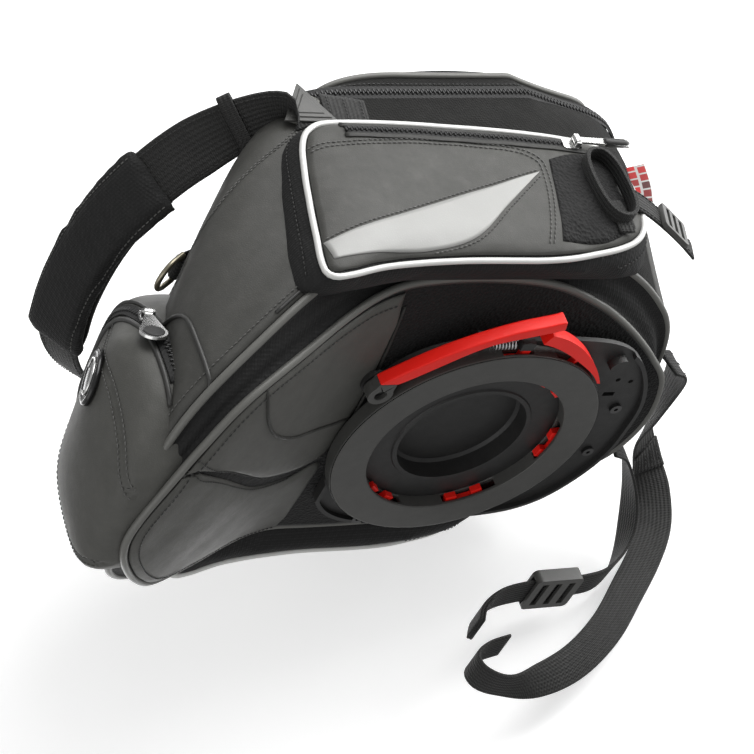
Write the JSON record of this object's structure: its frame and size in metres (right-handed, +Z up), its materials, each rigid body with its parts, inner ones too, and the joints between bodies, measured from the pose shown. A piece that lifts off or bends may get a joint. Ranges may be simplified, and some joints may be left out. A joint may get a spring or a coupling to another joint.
{
  "type": "tank bag",
  "caption": "Soft motorcycle tank bag with a ring quick lock in its base, side and rear zip pockets, carry handle and a steering-head strap.",
  "frame": {"origin": "centre of the quick-lock ring on its mating face, the lowest face of the ring", "axes": "+Z up, away from the tank, along the ring axis; +X towards the front of the motorcycle; +Y to the rider's left"},
  "size_m": [0.504, 0.341, 0.3608],
  "materials": {
    "pu_leather": "fine grained coated leather, satin",
    "black_fabric": "ballistic weave",
    "grey_piping": "satin",
    "reflective_piping": "reflective",
    "reflective_fabric": "reflective",
    "zip_tape": "zip tape with coil",
    "webbing": "ribbed webbing",
    "padded_fabric": "padded",
    "black_plastic": "fine spark-eroded texture",
    "red_plastic": "satin",
    "steel": "zinc plated",
    "bright_metal": "bright",
    "aged_brass": "aged",
    "badge_black": "gloss with metal ring",
    "woven_tag": "woven",
    "stiffener": "foam board"
  },
  "bodies": {
    "bag": {"base_panel": "pu_leather", "base_plate": "black_plastic", "base_stiffener": "stiffener", "centre_dish": "black_plastic", "compression_strap_left": "webbing", "compression_strap_right": "webbing", "d_ring_tab_left": "webbing", "d_ring_tab_right": "webbing", "expansion_gusset": "black_fabric", "floor_lining": "black_fabric", "ladder_lock_left": "black_plastic", "ladder_lock_right": "black_plastic", "lever_pin": "steel", "lid_zip_tape": "zip_tape", "lock_housing": "black_plastic", "lock_retainer": "black_plastic", "lower_piping": "grey_piping", "main_shell": "pu_leather", "plate_screws": "steel", "rear_badge": "badge_black", "rear_pocket": "pu_leather", "rear_zip_tape": "zip_tape", "reflective_panel_left": "reflective_fabric", "reflective_panel_right": "reflective_fabric", "return_spring": "steel", "side_loop_left": "webbing", "side_loop_right": "webbing", "side_piping_left": "reflective_piping", "side_piping_right": "reflective_piping", "side_pocket_left": "pu_leather", "side_pocket_right": "pu_leather", "side_zip_tape_left": "zip_tape", "side_zip_tape_right": "zip_tape", "steering_strap": "webbing", "steering_strap_tail": "webbing", "strap_end_left": "black_plastic", "strap_end_right": "black_plastic", "upper_piping": "grey_piping", "woven_tag": "woven_tag"},
    "lid": {"lid": "black_fabric", "lid_piping": "grey_piping"},
    "lever": {"release_lever": "red_plastic", "lever_eye": "black_plastic"},
    "lock_ring": {"lock_ring": "red_plastic", "lock_slider": "red_plastic", "spring_seat": "black_plastic"},
    "rear_zip_slider": {"rear_zip_slider": "bright_metal"},
    "rear_zip_pull": {"rear_zip_pull": "bright_metal"},
    "right_zip_slider": {"right_zip_slider": "bright_metal"},
    "right_zip_pull": {"right_zip_pull": "bright_metal"},
    "left_zip_slider": {"left_zip_slider": "bright_metal"},
    "left_zip_pull": {"left_zip_pull": "bright_metal"},
    "lid_zip_slider": {"lid_zip_slider": "bright_metal"},
    "lid_zip_pull": {"lid_zip_pull": "bright_metal"},
    "d_ring_right": {"d_ring_right": "aged_brass"},
    "d_ring_left": {"d_ring_left": "aged_brass"},
    "handle": {"carry_handle": "webbing", "handle_sleeve": "padded_fabric"},
    "strap_buckle": {"strap_buckle": "black_plastic"}
  },
  "joints": [
    {"name": "lid_open", "type": "hinge", "parent": "bag", "child": "lid", "pos_m": [0.1815, 0, 0.2052], "axis": [0, 1, 0], "range_deg": [0, 95]},
    {"name": "lever_pull", "type": "hinge", "parent": "bag", "child": "lever", "pos_m": [-0.086, -0.056, 0.005], "axis": [0, 0, -1], "range_deg": [0, 12], "stiffness_Nm_per_rad": 0.6, "deforming": ["return_spring"]},
    {"name": "lock_ring_turn", "type": "hinge", "parent": "bag", "child": "lock_ring", "pos_m": [0, 0, 0.005], "axis": [0, 0, -1], "range_deg": [0, 6]},
    {"name": "rear_zip_travel", "type": "hinge", "parent": "bag", "child": "rear_zip_slider", "pos_m": [-0.2285, 0.21325, -0.09376], "axis": [1, 0, 0], "range_deg": [-7, 3]},
    {"name": "right_zip_travel", "type": "slide", "parent": "bag", "child": "right_zip_slider", "axis": [-0.9984, 0, 0.0572], "range_m": [0, 0.148]},
    {"name": "left_zip_travel", "type": "slide", "parent": "bag", "child": "left_zip_slider", "axis": [-0.9984, 0, 0.0572], "range_m": [0, 0.148]},
    {"name": "lid_zip_travel", "type": "slide", "parent": "bag", "child": "lid_zip_slider", "axis": [0.9979, -0.004, 0.0654], "range_m": [-0.03, 0.08]},
    {"name": "rear_zip_pull_flip", "type": "hinge", "parent": "rear_zip_slider", "child": "rear_zip_pull", "pos_m": [-0.2293, -0.07068, 0.05794], "axis": [-0.9683, 0.105, 0.2268], "range_deg": [0, 150]},
    {"name": "right_zip_pull_flip", "type": "hinge", "parent": "right_zip_slider", "child": "right_zip_pull", "pos_m": [0.05319, -0.1655, 0.11802], "axis": [-0.0572, 0, -0.9984], "range_deg": [0, 150]},
    {"name": "left_zip_pull_flip", "type": "hinge", "parent": "left_zip_slider", "child": "left_zip_pull", "pos_m": [0.05319, 0.1655, 0.11802], "axis": [0.0572, 0, 0.9984], "range_deg": [0, 150]},
    {"name": "lid_zip_pull_flip", "type": "hinge", "parent": "lid_zip_slider", "child": "lid_zip_pull", "pos_m": [-0.03319, 0.14211, 0.18644], "axis": [0.0639, 0.2216, -0.9731], "range_deg": [0, 150]},
    {"name": "d_ring_right_swing", "type": "hinge", "parent": "bag", "child": "d_ring_right", "pos_m": [-0.1942, -0.06, 0.1024], "axis": [0, 1, 0], "range_deg": [-8, 100]},
    {"name": "d_ring_left_swing", "type": "hinge", "parent": "bag", "child": "d_ring_left", "pos_m": [-0.1942, 0.06, 0.1024], "axis": [0, 1, 0], "range_deg": [-8, 100]},
    {"name": "handle_swing", "type": "hinge", "parent": "bag", "child": "handle", "pos_m": [-0.117, 0, 0.146], "axis": [0, 1, 0], "range_deg": [-8, 5]},
    {"name": "strap_buckle_slide", "type": "slide", "parent": "bag", "child": "strap_buckle", "axis": [1, 0, 0], "range_m": [-0.006, 0.006]}
  ],
  "couplings": [
    {"joint": "lock_ring_turn", "follows": "lever_pull", "ratio": 0.5}
  ]
}
